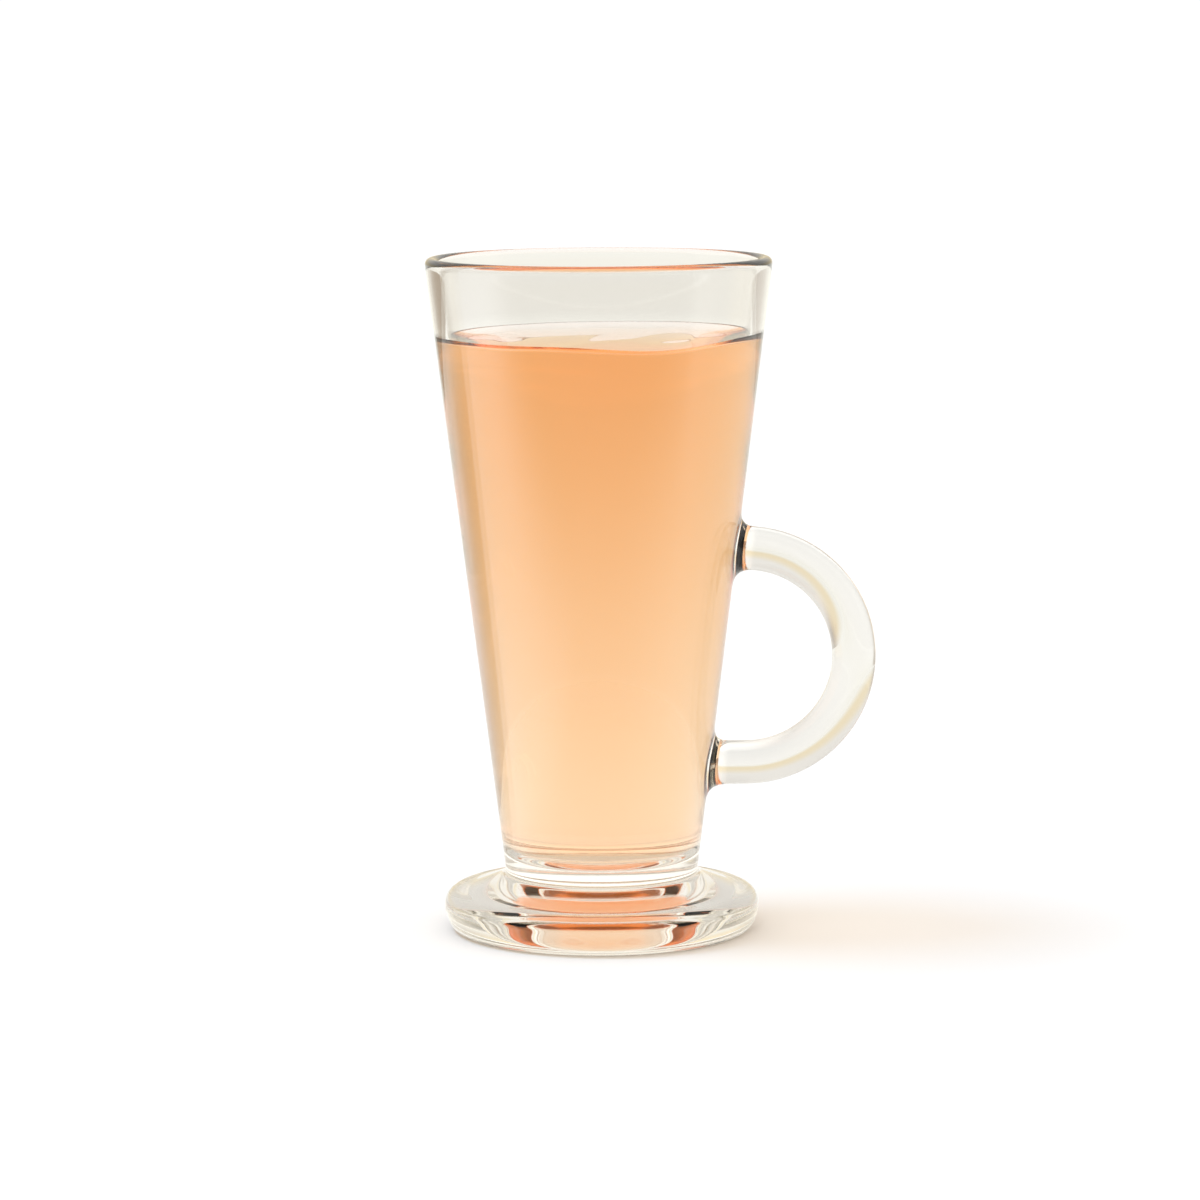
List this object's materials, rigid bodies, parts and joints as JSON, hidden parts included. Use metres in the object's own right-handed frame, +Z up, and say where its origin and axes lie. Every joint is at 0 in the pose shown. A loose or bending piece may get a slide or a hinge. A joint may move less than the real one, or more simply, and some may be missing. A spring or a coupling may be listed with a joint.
{
  "type": "glass cup of tea",
  "caption": "Tall footed clear glass with a round loop handle, filled with pale orange tea to a little below its rim.",
  "frame": {"origin": "on the axis of the glass, in the plane of the flat ring that it stands on", "axes": "+Z up along the axis of the glass, +X towards the handle, -Y towards the front"},
  "size_m": [0.0989, 0.076, 0.149],
  "materials": {
    "glass": "polished",
    "tea": "polished"
  },
  "bodies": {
    "root": {"cup": "glass", "tea": "tea"}
  },
  "joints": []
}
